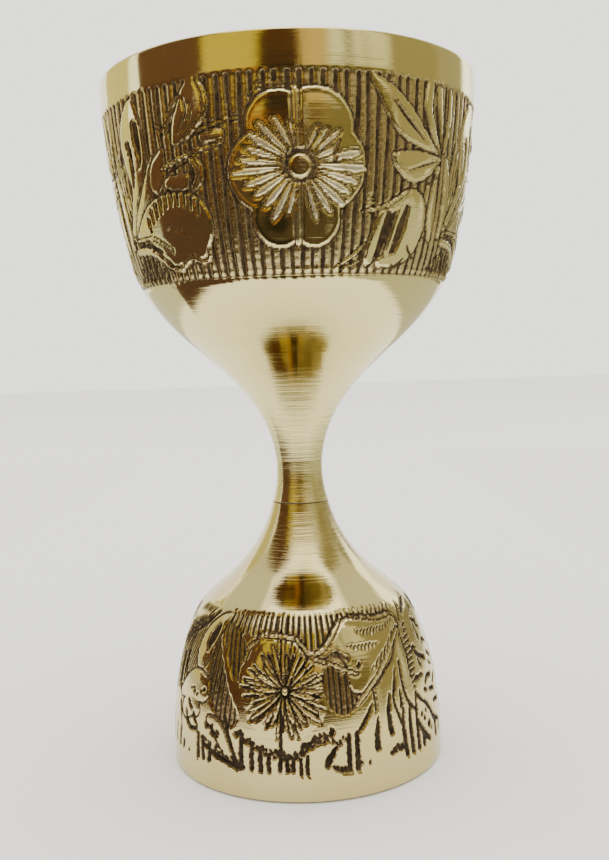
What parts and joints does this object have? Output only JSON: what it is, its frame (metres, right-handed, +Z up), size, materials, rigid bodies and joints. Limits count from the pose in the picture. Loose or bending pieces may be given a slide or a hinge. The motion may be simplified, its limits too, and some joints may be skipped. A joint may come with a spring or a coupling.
{
  "type": "double-ended peg measure cup",
  "caption": "Waisted double-ended brass measuring cup: large goblet-shaped cup above, small bell-shaped cup below as its foot, engraved floral bands, screwed together below the waist.",
  "frame": {"origin": "centre of the ring that the foot stands on", "axes": "+Z up along the turning axis, from the small cup's mouth to the large cup's rim; the engraved flower faces -Y"},
  "size_m": [0.0574, 0.0574, 0.104],
  "materials": {
    "upper_brass": "polished cast and turned brass, hand-engraved band with dark lacquer in the cuts",
    "lower_brass": "polished cast and turned brass, hand-engraved band with dark lacquer in the cuts",
    "stud_steel": "plain turned steel, threaded"
  },
  "bodies": {
    "root": {"upper_cup": "upper_brass", "lower_cup": "lower_brass", "joining_stud": "stud_steel"}
  },
  "joints": []
}
